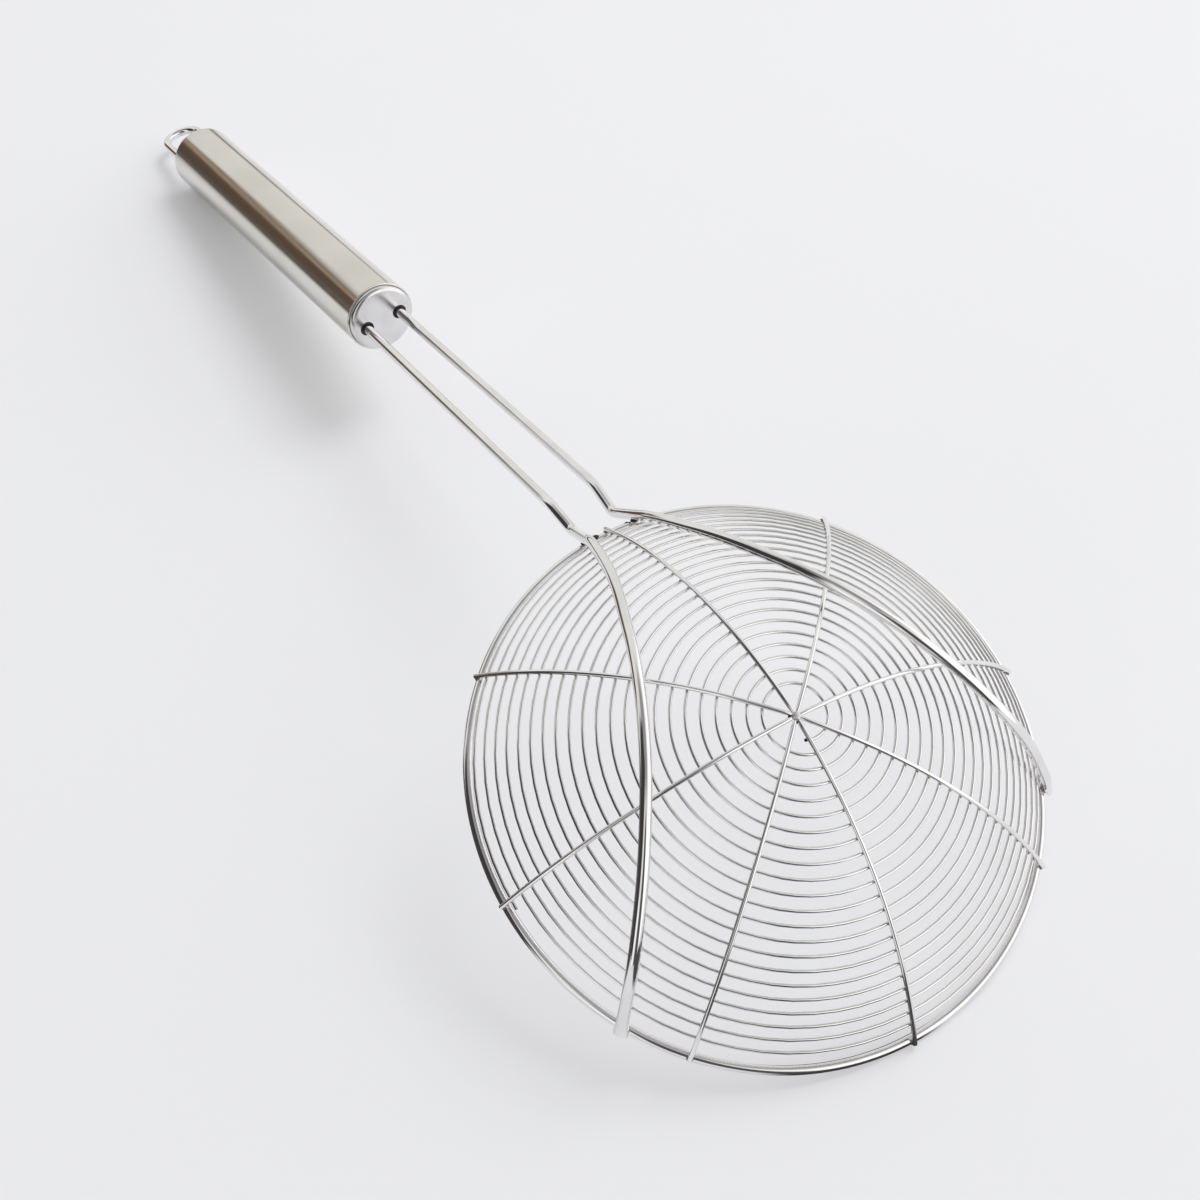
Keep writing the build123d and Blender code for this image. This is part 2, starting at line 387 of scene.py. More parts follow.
def rounded(corners: list[Vector], radii: list[float], step: float = math.radians(6)
            ) -> list[Vector]:
    """Rounds the corners of a bent wire's route.

    Args:
        corners: The route's corners.
        radii: The bend radius at each inner corner.
        step: Turn between neighbouring points of a bend, in radians.

    Returns:
        Points of the route.
    """
    route = [corners[0]]
    for before, at, after, radius in zip(corners, corners[1:], corners[2:], radii):
        inward = (at - before).normalized()
        outward = (after - at).normalized()
        turn = inward.angle(outward)
        cut = radius * math.tan(turn / 2)
        start = at - inward * cut
        axis = inward.cross(outward).normalized()
        centre = start + axis.cross(inward) * radius
        count = max(2, math.ceil(turn / step))
        for index in range(count + 1):
            spin = Matrix.Rotation(turn * index / count, 3, axis)
            route.append(centre + spin @ (start - centre))
    route.append(corners[-1])
    return route


def evened(route: list[Vector], step: float) -> list[Vector]:
    """Adds points on a route's long runs.

    Args:
        route: The route's points.
        step: The most between two points.

    Returns:
        The finer route.
    """
    fine = [route[0]]
    for before, after in zip(route, route[1:]):
        count = max(1, math.ceil((after - before).length / step))
        fine += [before.lerp(after, index / count) for index in range(1, count + 1)]
    return fine


def flowing(points: list[Vector], per_run: int = 10) -> list[Vector]:
    """Runs a smooth curve through points, all but the first, which only gives its direction.

    Args:
        points: The points.
        per_run: Steps between neighbouring points.

    Returns:
        Points of the curve, from the second point to the last.
    """
    padded = [*points, points[-1] * 2 - points[-2]]
    curve = [points[1]]
    for before, start, end, after in zip(padded, padded[1:], padded[2:], padded[3:]):
        for index in range(1, per_run + 1):
            t = index / per_run
            curve.append((start * 2 + (end - before) * t
                          + (before * 2 - start * 5 + end * 4 - after) * t**2
                          + (start * 3 - before - end * 3 + after) * t**3) / 2)
    return curve


def arc_through(start: Vector, middle: Vector, end: Vector, count: int) -> list[Vector]:
    """Points of the arc from one point through a second to a third.

    Args:
        start: The arc's start.
        middle: A point on it.
        end: Its end, less than half a turn on.
        count: Number of steps.

    Returns:
        The points, with both ends.
    """
    first, second = middle - start, end - start
    normal = first.cross(second)
    toward = (second.length_squared * normal.cross(first)
              + first.length_squared * second.cross(normal))
    centre = start + toward / (2 * normal.length_squared)
    turn = (start - centre).angle(end - centre)
    spins = (Matrix.Rotation(turn * index / count, 3, normal.normalized())
             for index in range(count + 1))
    return [centre + spin @ (start - centre) for spin in spins]


def drum(name: str, sides: int, radius: float, depth: float,
         spot: Triple = (0.0, 0.0, 0.0), ends: str = "NGON") -> Object:
    """Adds an upright drum.

    Args:
        name: Its name.
        sides: Faces round it.
        radius: Its radius, in metres.
        depth: Its height, in metres.
        spot: Its middle.
        ends: What closes its ends.

    Returns:
        The drum, with its place in its mesh.
    """
    deselect_all()
    bpy.ops.mesh.primitive_cylinder_add(vertices=sides, radius=radius, depth=depth,
                                        end_fill_type=ends, location=spot)
    made = bpy.context.object
    made.name = name
    bpy.ops.object.transform_apply(location=True, rotation=True, scale=True)
    return made


@dataclass(frozen=True)
class Bead:
    """A weld bead: a squashed ball, pushed a little out of shape.

    Attributes:
        size: Its full sizes, the last from one wire to the other.
        seed: Seed of its uneven shape.
        faces: Faces round it and from pole to pole.
        rough: How uneven it is, as a share of its smallest size.
    """

    size: Triple
    seed: int
    faces: tuple[int, int] = (10, 6)
    rough: float = 0.04

    def make(self, place: Matrix, which: int = 0) -> Object:
        """Makes the bead.

        Args:
            place: Its frame, with z from one wire to the other.
            which: Its number among like beads, which changes its uneven shape.

        Returns:
            The bead.
        """
        deselect_all()
        bpy.ops.mesh.primitive_uv_sphere_add(segments=self.faces[0], ring_count=self.faces[1],
                                             radius=0.5)
        ball = bpy.context.object
        ball.scale = self.size
        bpy.ops.object.transform_apply(location=False, rotation=False, scale=True)
        bpy.ops.object.mode_set(mode="EDIT")
        bpy.ops.mesh.select_all(action="SELECT")
        bpy.ops.transform.vertex_random(offset=self.rough * min(self.size),
                                        seed=self.seed + which)
        bpy.ops.object.mode_set(mode="OBJECT")
        bpy.ops.object.shade_smooth()
        settle(ball, place)
        return ball


def frame_at(origin: Vector, up: Vector, along: Vector) -> Matrix:
    """Frame with a given z and an x near a given direction.

    Args:
        origin: Its origin.
        up: Its z.
        along: A direction near its x.

    Returns:
        The frame as a matrix.
    """
    z = up.normalized()
    x = (along - z * along.dot(z)).normalized()
    y = z.cross(x)
    turned = Matrix((x, y, z)).transposed().to_4x4()
    return Matrix.Translation(origin) @ turned


@dataclass
class Rest:
    """How the basket lies: the middle of its rim, and the tilt of the rim's plane."""

    lean: float = math.radians(21.2303)
    centre: Vector = field(
        default_factory=lambda: sum(map(Vector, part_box("rim_ring")), Vector()) / 2)

    def matrix(self) -> Matrix:
        """The basket's frame in the part's."""
        return Matrix.Translation(self.centre) @ Matrix.Rotation(self.lean, 4, "Y")


@dataclass
class Dome:
    """The skin between the spiral inside and the ribs outside, and where things lie on it."""

    rim_radius: float = 68.9 * MM
    height: float = 35.7 * MM
    rim_wire: float = 2.2 * MM
    rib_wire: float = 1.1 * MM
    spiral_wire: float = 0.8 * MM
    fork_wire: float = 2.8 * MM
    touch: float = 0.02 * MM

    def __post_init__(self) -> None:
        """Works out the spheres on which the wires lie."""
        rim_r = self.rim_wire / 2
        skin_height = self.height - self.rib_wire / 2
        self.skin_r = (self.rim_radius**2 + skin_height**2 - rim_r**2) / (2 * (skin_height - rim_r))
        self.skin_z = skin_height - self.skin_r
        self.rib_sphere = self.skin_r + self.touch + self.rib_wire / 2
        self.spiral_sphere = self.skin_r - self.spiral_wire / 2
        self.rim_polar = math.asin(self.rim_radius / (self.skin_r - rim_r))

    def point(self, radius: float, polar: float, azimuth: float) -> Vector:
        """Point at a distance from the dome's centre, a polar angle and an azimuth.

        Args:
            radius: Its distance from the centre.
            polar: Its angle from the crown.
            azimuth: Its angle round the dome.

        Returns:
            The point in the basket's frame.
        """
        across = radius * math.sin(polar)
        up = self.skin_z + radius * math.cos(polar)
        return Vector((across * math.cos(azimuth), across * math.sin(azimuth), up))

    def outward(self, polar: float, azimuth: float) -> Vector:
        """Direction away from the dome's centre."""
        return Vector((math.sin(polar) * math.cos(azimuth), math.sin(polar) * math.sin(azimuth),
                       math.cos(polar)))

    def seat(self, radius: float, polar: float, azimuth: float) -> Matrix:
        """Frame at a point of the dome, with z outward and x round it."""
        around = Vector((-math.sin(azimuth), math.cos(azimuth), 0))
        return frame_at(self.point(radius, polar, azimuth), self.outward(polar, azimuth), around)


@dataclass
class Basket:
    """Rim, ribs, spiral and their welds."""

    dome: Dome
    rest: Rest
    materials: dict[Finish, Material]
    rib_strays: dict[str, Pair] = field(default_factory=lambda: {
        "rib_front": (-1.7, -2.7), "rib_front_left": (-2.0, -2.1), "rib_left": (-3.6, -6.2),
        "rib_rear_left": (-2.5, -1.6), "rib_rear": (0.8, 0.7), "rib_rear_right": (-1.1, -1.2),
        "rib_right": (-0.2, 0.0), "rib_front_right": (-1.0, -0.8)})
    rib_step: float = 45.0
    rib_overrun: float = 0.3 * MM
    rib_meet: float = 1.53 * MM
    tip_reach: float = 1.0 * MM
    spiral_start: float = 6.0 * MM
    spiral_end_gap: float = 2.6 * MM
    spiral_start_angle: float = math.radians(-6)
    spiral_turns: float = 21 + 278 / 360
    spiral_bulge: float = 0.8 * MM
    spiral_offset: float = 1.35 * MM
    spiral_offset_angle: float = math.radians(105)
    points_per_turn: int = 72
    rim_points: int = 240
    rib_points: int = 48
    sides: tuple[int, int, int] = (24, 14, 12)
    rib_taper: Pair = (0.62, 0.9)
    crossing_sizes: tuple[Pair, Pair, Pair] = ((1.0, 1.4), (0.75, 0.9), (0.5, 0.6))
    crossing_faces: tuple[int, int] = (8, 5)
    crossing_rough: float = 0.1
    crossing_seed: int = 4
    crossing_tries: int = 4
    crossing_depth: float = 0.05 * MM
    rib_weld: Bead = Bead((1.7 * MM, 1.5 * MM, 0.8 * MM), 40, (12, 7))
    crown_spots: tuple[Bead, Bead] = (Bead((1.3 * MM, 0.78 * MM, 0.78 * MM), 80, rough=0.12),
                                      Bead((1.0 * MM, 0.6 * MM, 0.6 * MM), 81, rough=0.12))
    crown_spot_azimuths: Pair = (math.radians(247.0), math.radians(335.0))
    crown_spot_reach: float = 1.45 * MM
    start_spot: Bead = Bead((0.9 * MM, 0.84 * MM, 0.84 * MM), 90, rough=0.03)
    button_radius: float = 0.98 * MM
    button_height: float = 1.3 * MM
    button_edge: float = 0.22 * MM
    button_rough: float = 0.02 * MM
    button_seed: int = 3

    def build(self) -> None:
        """Makes every piece of the basket."""
        self.rim()
        for name in self.rib_strays:
            self.rib(name)
        self.spiral()
        self.spiral_rib_welds()
        self.crown()
        self.dark_spots()
        self.rim_rib_welds()

    def in_place(self, points: list[Vector]) -> list[Vector]:
        """Takes points from the basket's frame to the part's."""
        place = self.rest.matrix()
        return [place @ point for point in points]

    def rim(self) -> None:
        """Makes the rim ring."""
        angles = [math.tau * index / self.rim_points for index in range(self.rim_points)]
        points = [Vector((math.cos(angle), math.sin(angle), 0)) * self.dome.rim_radius
                  for angle in angles]
        ring = round_wire("rim", self.in_place(points), self.dome.rim_wire, self.sides[0], True)
        dress(ring, self.materials, Finish.WIRE, "rim_ring")

    def rib_azimuths(self, name: str) -> Pair:
        """A rib's azimuth at its middle and at the rim.

        Args:
            name: The rib's name.

        Returns:
            The two angles.
        """
        even = self.rib_step * list(self.rib_strays).index(name)
        middle, end = self.rib_strays[name]
        return math.radians(even + middle), math.radians(even + end)

    def rib_route(self, name: str) -> list[Vector]:
        """Points of a rib's centre line in the basket's frame, from the crown on.

        Args:
            name: The rib's name.

        Returns:
            The points.
        """
        dome = self.dome
        middle, end = self.rib_azimuths(name)
        first = math.asin(self.rib_meet / dome.rib_sphere)
        last = dome.rim_polar + self.rib_overrun / dome.rib_sphere
        places = ((first, middle), ((first + last) / 2, middle), (last, end))
        arc = arc_through(*[dome.point(dome.rib_sphere, *place) for place in places],
                          self.rib_points)
        return [arc[0] + (arc[0] - arc[1]).normalized() * (self.rib_meet - self.tip_reach), *arc]

    def rib(self, name: str) -> None:
        """Makes one rib from the crown to just past the rim.

        Args:
            name: The rib's name.
        """
        points = self.rib_route(name)
        widths = [*self.rib_taper, *[1.0] * (len(points) - len(self.rib_taper))]
        wire = round_wire(name + "_wire", self.in_place(points), self.dome.rib_wire,
                          self.sides[1], widths=widths)
        dress(wire, self.materials, Finish.WIRE, name)

    def spiral_polar(self, turns: float) -> float:
        """Polar angle of the spiral after a number of turns.

        Args:
            turns: Turns from its start.

        Returns:
            The angle from the crown.
        """
        share = turns / self.spiral_turns
        off = self.spiral_start_angle + math.tau * turns - self.spiral_offset_angle
        end = self.dome.spiral_sphere * self.dome.rim_polar - self.spiral_end_gap
        along = self.spiral_start + (end - self.spiral_start) * share
        along += self.spiral_bulge * math.sin(math.pi * share)
        along += self.spiral_offset * (1 - share**2) * math.cos(off)
        return along / self.dome.spiral_sphere

    def spiral(self) -> None:
        """Makes the one long wire of the basket."""
        count = int(self.spiral_turns * self.points_per_turn)
        points = []
        for index in range(count + 1):
            at = self.spiral_turns * index / count
            azimuth = self.spiral_start_angle + math.tau * at
            points.append(self.dome.point(self.dome.spiral_sphere, self.spiral_polar(at), azimuth))
        wire = round_wire("spiral", self.in_place(points), self.dome.spiral_wire, self.sides[2])
        dress(wire, self.materials, Finish.WIRE, "spiral_wire")

    def rib_azimuth_at(self, route: list[Vector], polar: float) -> float:
        """Azimuth of a rib's centre line at a polar angle.

        Args:
            route: The rib's centre line.
            polar: The angle from the crown.

        Returns:
            The angle round the dome.
        """
        reach = self.dome.rib_sphere * math.sin(polar)
        for inner, outer in zip(route, route[1:]):
            if outer.xy.length >= reach:
                break
        share = (reach - inner.xy.length) / (outer.xy.length - inner.xy.length)
        spot = inner.lerp(outer, share)
        return math.atan2(spot.y, spot.x)

    def crossings(self, name: str) -> list[Pair]:
        """Polar angle and azimuth of each crossing of the spiral and a rib.

        Args:
            name: The rib's name.

        Returns:
            The two angles of each, the innermost first.
        """
        route = self.rib_route(name)
        found = []
        for turn in range(math.ceil(self.spiral_turns) + 1):
            azimuth = self.rib_azimuths(name)[0]
            for _ in range(self.crossing_tries):
                ahead = (azimuth - self.spiral_start_angle) / math.tau % 1.0 + turn
                polar = self.spiral_polar(min(ahead, self.spiral_turns))
                azimuth = self.rib_azimuth_at(route, polar)
            if ahead < self.spiral_turns:
                found.append((polar, azimuth))
        return found

    def spiral_rib_welds(self) -> None:
        """Makes the spot weld at each crossing of the spiral and a rib."""
        place = self.rest.matrix()
        depth = self.dome.skin_r - self.crossing_depth
        spots = []
        rng = random.Random(self.crossing_seed)
        for name in self.rib_strays:
            for polar, azimuth in self.crossings(name):
                size = tuple(rng.uniform(*ends) * MM for ends in self.crossing_sizes)
                spot = Bead(size, len(spots), self.crossing_faces, self.crossing_rough)
                spots.append(spot.make(place @ self.dome.seat(depth, polar, azimuth)))
        dress(join(spots, "spiral_rib_welds"), self.materials, Finish.WELD)

    def crown(self) -> None:
        """Makes the button weld at the apex: a low drum with a rounded, uneven top."""
        button = drum("crown_button", 24, self.button_radius, self.button_height)
        bpy.ops.object.mode_set(mode="EDIT")
        bpy.ops.mesh.select_all(action="SELECT")
        bpy.ops.mesh.bevel(offset=self.button_edge, segments=3, affect="EDGES")
        bpy.ops.transform.vertex_random(offset=self.button_rough, seed=self.button_seed)
        bpy.ops.object.mode_set(mode="OBJECT")
        top = self.dome.skin_z + self.dome.rib_sphere - self.dome.rib_wire / 2
        middle = Matrix.Translation((0, 0, top + self.button_height / 2))
        settle(button, self.rest.matrix() @ middle)
        smooth(button, 60.0)
        dress(button, self.materials, Finish.CAP, "crown_weld")

    def dark_spots(self) -> None:
        """Makes the near-black spots beside the crown's button, and the spiral's near-black start.
        """
        place = self.rest.matrix()
        dome = self.dome
        polar = self.crown_spot_reach / dome.rib_sphere
        spots = [spot.make(place @ dome.seat(dome.rib_sphere, polar, azimuth))
                 for spot, azimuth in zip(self.crown_spots, self.crown_spot_azimuths)]
        start = dome.seat(dome.spiral_sphere, self.spiral_polar(0.0), self.spiral_start_angle)
        spots.append(self.start_spot.make(place @ start))
        dress(join(spots, "dark_spots"), self.materials, Finish.BURNT)

    def rim_rib_welds(self) -> None:
        """Makes the bead between each rib's end and the rim."""
        place = self.rest.matrix()
        dome = self.dome
        spots = []
        for index, name in enumerate(self.rib_strays):
            seat = dome.seat(dome.skin_r, dome.rim_polar, self.rib_azimuths(name)[1])
            spots.append(self.rib_weld.make(place @ seat, index))
        dress(join(spots, "rib_end_welds"), self.materials, Finish.WELD, "rim_rib_welds")


@dataclass
class Handle:
    """Tube, its two caps and the hanging loop."""

    rest: Rest
    materials: dict[Finish, Material]
    reach: float = 181.4 * MM
    drop: float = 62.9 * MM
    angle: float = math.radians(30.75)
    turn: float = math.radians(7)
    diameter: float = 21.0 * MM
    length: float = 138.0 * MM
    wall: float = 0.6 * MM
    sheet: float = 0.8 * MM
    cap_depth: float = 8.0 * MM
    proud: float = 1.8 * MM
    cap_edge: float = 1.3 * MM
    fork_hole_spacing: float = 0.519 * 21.0 * MM
    fork_hole_drop: float = 0.5 * MM
    fork_hole: float = 4.2 * MM
    loop_wire: float = 2.7 * MM
    loop_hole: float = 2.9 * MM
    loop_spacing: float = 0.59 * 21.0 * MM - 0.5 * MM
    loop_reach: float = 26.2 * MM
    loop_depth: float = 7.0 * MM
    loop_steps: int = 40
    loop_run: float = 2.0 * MM
    tube_edge: float = 0.28 * MM
    cap_gap: float = 0.02 * MM
    hole_edge: float = 0.14 * MM
    punch: float = 6.0 * MM

    def frame(self) -> Matrix:
        """Frame at the tube's front end in the basket's frame: z runs to the rear.

        Returns:
            The frame as a matrix.
        """
        z = Vector((-math.cos(self.angle), 0, -math.sin(self.angle)))
        at = Vector((-self.reach, 0, -self.drop))
        return frame_at(at, z, Vector((0, -1, 0))) @ Matrix.Rotation(-self.turn, 4, "Z")

    def place(self) -> Matrix:
        """The handle's frame in the part's."""
        return self.rest.matrix() @ self.frame()

    def rear_place(self) -> Matrix:
        """Frame at the tube's rear end in the part's, with z on to the rear."""
        return self.place() @ Matrix.Translation((0, 0, self.length))

    def build(self) -> None:
        """Makes every piece of the handle."""
        self.tube()
        half = self.fork_hole_spacing / 2
        holes = [(-half, -self.fork_hole_drop), (half, -self.fork_hole_drop)]
        self.cap("front_end_cap", self.place(), holes, self.fork_hole, "front_cap")
        half = self.loop_spacing / 2
        into_rear = self.rear_place() @ Matrix.Rotation(math.pi, 4, "Y")
        self.cap("rear_end_cap", into_rear, [(-half, 0.0), (half, 0.0)], self.loop_hole, "rear_cap")
        self.loop()
        # The collars inside the caps get the near-black finish: painted shade in the holes round
        # the fork wires and the loop.
        for node in ("fork_welds", "loop_welds"):
            put_finish(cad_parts[node], self.materials[Finish.BURNT])

    def tube(self) -> None:
        """Makes the tube: an open drum given its wall and softened end edges."""
        tube = drum("handle_tube_shell", 128, self.diameter / 2, self.length,
                    (0.0, 0.0, self.length / 2), "NOTHING")
        thicken(tube, self.wall)
        soften(tube, self.tube_edge, 3, 50.0)
        apply_all(tube)
        settle(tube, self.place())
        smooth(tube)
        even_shading(tube)
        dress(tube, self.materials, Finish.HANDLE, "handle_tube")

    def cap(self, name: str, place: Matrix, holes: list[Pair], hole: float, node: str) -> None:
        """Makes a stamped cap with its two holes, z into the tube.

        Args:
            name: The piece's name.
            place: Its frame in the part's.
            holes: The holes' centres.
            hole: Their diameter.
            node: The node that it stands for.
        """
        radius = self.diameter / 2 - self.wall - self.cap_gap
        tall = self.proud + self.cap_depth
        cup = drum(name, 96, radius, tall, (0.0, 0.0, tall / 2 - self.proud))
        mesh = cup.data
        bpy.ops.object.mode_set(mode="EDIT")
        bpy.ops.mesh.select_mode(type="FACE")
        bpy.ops.mesh.select_all(action="DESELECT")
        bpy.ops.object.mode_set(mode="OBJECT")
        for face in mesh.polygons:
            face.select = face.normal.z > 0.9
        bpy.ops.object.mode_set(mode="EDIT")
        bpy.ops.mesh.delete(type="FACE")
        bpy.ops.mesh.select_mode(type="EDGE")
        bpy.ops.object.mode_set(mode="OBJECT")
        for edge in mesh.edges:
            edge.select = all(mesh.vertices[v].co.z < -self.proud / 2 for v in edge.vertices)
        bpy.ops.object.mode_set(mode="EDIT")
        bpy.ops.mesh.bevel(offset=self.cap_edge, segments=8, profile=0.5)
        bpy.ops.object.mode_set(mode="OBJECT")
        thicken(cup, self.sheet)
        punches = []
        for index, (x, y) in enumerate(holes):
            punches.append(drum(f"punch_{index}", 40, hole / 2, self.punch,
                                (x, y, -self.proud + self.sheet / 2)))
            cut = cup.modifiers.new(f"hole_{index}", "BOOLEAN")
            cut.operation = "DIFFERENCE"
            cut.object = punches[-1]
        soften(cup, self.hole_edge, 2, 60.0)
        apply_all(cup)
        for punch in punches:
            bpy.data.objects.remove(punch)
        settle(cup, place)
        smooth(cup, 30.0)
        even_shading(cup)
        dress(cup, self.materials, Finish.CAP, node)

    def loop(self) -> None:
        """Makes the hanging loop: a wire bent to a U, with its legs inside the rear cap."""
        half = self.loop_spacing / 2
        straight = self.loop_reach - self.loop_wire / 2 - half
        bend = [Vector((-half * math.cos(turn), 0, straight + half * math.sin(turn)))
                for turn in (math.pi * index / self.loop_steps
                             for index in range(self.loop_steps + 1))]
        route = [Vector((-half, 0, -self.loop_depth)), *bend, Vector((half, 0, -self.loop_depth))]
        place = self.rear_place()
        points = [place @ point for point in evened(route, self.loop_run)]
        wire = round_wire("loop", points, self.loop_wire, 20)
        dress(wire, self.materials, Finish.LOOP, "hanging_loop")


@dataclass
class Fork:
    """The two fork wires from the handle's cap over the dome to the far rim."""

    dome: Dome
    handle: Handle
    rest: Rest
    materials: dict[Finish, Material]
    corner: Triple = (16.8 * MM, 6.5 * MM, 7.9 * MM)
    corner_bend: float = 12.0 * MM
    knee_run: float = 8.8 * MM
    knee_bend: float = 4.2 * MM
    neck_angle: float = math.radians(6.0)
    neck_slope: float = math.radians(53.6)
    neck_heading: float = math.radians(14.4)
    neck_run: float = 5.4 * MM
    end_angle: float = math.radians(59)
    end_overrun: float = 0.8 * MM
    end_tries: int = 8
    spatter_step: float = math.radians(2.0)
    spatter_rise: float = 0.42
    spatter: dict[int, Bead] = field(default_factory=lambda: {
        1: Bead((1.1 * MM, 0.8 * MM, 0.7 * MM), 65, (14, 8), 0.16),
        -1: Bead((3.4 * MM, 2.1 * MM, 1.4 * MM), 63, (14, 8), 0.16)})
    neck_weld: Bead = Bead((2.2 * MM, 2.4 * MM, 1.5 * MM), 60, (16, 9))
    end_weld: Bead = Bead((3.0 * MM, 2.4 * MM, 1.4 * MM), 70, (16, 9))
    longest_run: float = 2.5 * MM
    gap: float = 4.7 * MM
    flat_run: float = 5.0 * MM
    flat_wider: float = 0.3
    flat_thinner: float = 0.32
    depth: float = 9.5 * MM
    shares: tuple[Triple, ...] = (
        (-0.82, 0.170, 0.14), (-0.70, 0.219, 0.28), (-0.57, 0.278, 0.40), (-0.44, 0.337, 0.66),
        (-0.31, 0.400, 0.85), (-0.18, 0.466, 0.96), (-0.05, 0.535, 1.00), (0.08, 0.608, 0.94),
        (0.20, 0.678, 0.87), (0.31, 0.745, 0.74), (0.41, 0.807, 0.50))

    def build(self) -> None:
        """Makes both wires and their welds on the rim."""
        for side, name in ((1, "fork_wire_left"), (-1, "fork_wire_right")):
            self.wire(side, name)
        self.welds()

    def on_rim(self, azimuth: float) -> Vector:
        """Centre of the rim wire at an azimuth."""
        return Vector((math.cos(azimuth), math.sin(azimuth), 0)) * self.dome.rim_radius

    def stand_off(self) -> float:
        """Distance between the centres of a fork wire and the rim wire where they touch."""
        return (self.dome.rim_wire + self.dome.fork_wire) / 2 + self.dome.touch

    def neck_seat(self, side: int) -> tuple[Vector, Vector, Vector]:
        """Rim point, fork centre and fork direction where a wire crosses the neck.

        Args:
            side: 1 on the left, -1 on the right.

        Returns:
            The rim's centre, the wire's and its direction.
        """
        on_rim = self.on_rim(math.pi - side * self.neck_angle)
        rise, heading = self.neck_slope, side * self.neck_heading
        away = Vector((-math.sin(rise), 0, math.cos(rise)))
        way = Vector((math.cos(rise) * math.cos(heading), math.cos(rise) * math.sin(heading),
                      math.sin(rise)))
        return on_rim, on_rim + away * self.stand_off(), way

    def end_seat(self, side: int, before: Vector) -> tuple[Vector, Vector]:
        """Rim point and fork centre where a wire that comes from a point ends on the rim.

        Args:
            side: 1 on the left, -1 on the right.
            before: The point.

        Returns:
            The rim's centre and the wire's.
        """
        around = side * self.end_angle
        on_rim = self.on_rim(around)
        along = Vector((-math.sin(around), math.cos(around), 0))
        centre = on_rim
        for _ in range(self.end_tries):
            away = along.cross(centre - before).normalized()
            away = away if away.dot(on_rim) > 0 else -away
            centre = on_rim + away * self.stand_off()
        return on_rim, centre

    def corners(self, side: int) -> list[Vector]:
        """Corners of a wire's route in the basket's frame, from inside the handle on.

        Args:
            side: 1 on the left, -1 on the right.

        Returns:
            The corners.
        """
        dome = self.dome
        start = Vector((-side * self.handle.fork_hole_spacing / 2, -self.handle.fork_hole_drop,
                        -self.handle.proud))
        hole = self.handle.frame() @ start
        reach, half, drop = self.corner
        corner = Vector((-dome.rim_radius - reach, side * half, -drop))
        _, seat, way = self.neck_seat(side)
        points = [hole + (hole - corner).normalized() * self.depth, corner,
                  seat - way * self.knee_run, seat + way * self.neck_run]
        for along, across, off in self.shares:
            x, y = dome.rim_radius * along, dome.rim_radius * across
            radius = dome.skin_r + dome.fork_wire / 2 + self.gap * off
            points.append(Vector((x, side * y, dome.skin_z + math.sqrt(radius**2 - x * x - y * y))))
        _, end = self.end_seat(side, points[-1])
        points.append(end + (end - points[-1]).normalized() * self.end_overrun)
        return points

    def wire(self, side: int, node: str) -> None:
        """Makes one wire.

        Args:
            side: 1 on the left, -1 on the right.
            node: The node that it stands for.
        """
        corners = self.corners(side)
        shank = rounded(corners[:4], [self.corner_bend, self.knee_bend])
        route = evened([*shank, *flowing(corners[2:])[1:]], self.longest_run)
        place = self.rest.matrix()
        points = [place @ point for point in route]
        wire = round_wire(node + "_round", points, self.dome.fork_wire, 24)
        on_rim, centre = self.end_seat(side, corners[-2])
        turned = place.to_3x3()
        self.flatten(wire, points[-1], turned @ (corners[-1] - corners[-2]).normalized(),
                     turned @ (centre - on_rim).normalized())
        dress(wire, self.materials, Finish.WIRE, node)

    def flatten(self, wire: Object, end: Vector, way: Vector, up: Vector) -> None:
        """Flattens a wire's last run, where it was pressed on the rim.

        Args:
            wire: The wire.
            end: The end of its centre line.
            way: Its direction there.
            up: Direction from the rim to its centre line.
        """
        across = up.cross(way)
        for vertex in wire.data.vertices:
            offset = vertex.co - end
            share = min(1.0, 1.0 + offset.dot(way) / self.flat_run)
            if share <= 0.0 or offset.length > 2 * self.flat_run:
                continue
            share *= share * (3.0 - 2.0 * share)
            above = offset.dot(up) + self.dome.fork_wire / 2
            vertex.co += across * (offset.dot(across) * self.flat_wider * share)
            vertex.co -= up * (above * self.flat_thinner * share)

    def weld_seat(self, on_rim: Vector, centre: Vector, way: Vector) -> Matrix:
        """Frame of the weld between a rim point and a fork wire that runs a way."""
        middle = on_rim.lerp(centre, self.dome.rim_wire / 2 / self.stand_off())
        return self.rest.matrix() @ frame_at(middle, centre - on_rim, way)

    def welds(self) -> None:
        """Makes the beads between the fork wires and the rim, and the spatter at the neck."""
        place = self.rest.matrix()
        ends, dark_beads = [], []
        for side in (1, -1):
            on_rim, centre, way = self.neck_seat(side)
            dark_beads.append(self.neck_weld.make(self.weld_seat(on_rim, centre, way), side))
            aside = self.on_rim(math.pi - side * (self.neck_angle - self.spatter_step))
            up = (centre - on_rim).normalized()
            spot = aside + up * self.dome.rim_wire * self.spatter_rise
            dark_beads.append(self.spatter[side].make(place @ frame_at(spot, up, aside - on_rim)))
            corners = self.corners(side)
            on_rim, centre = self.end_seat(side, corners[-2])
            seat = self.weld_seat(on_rim, centre, corners[-1] - corners[-2])
            ends.append(self.end_weld.make(seat, side))
        dress(join(ends, "fork_end_welds"), self.materials, Finish.WELD, "rim_fork_welds")
        dress(join(dark_beads, "fork_neck_welds"), self.materials, Finish.BURNT)


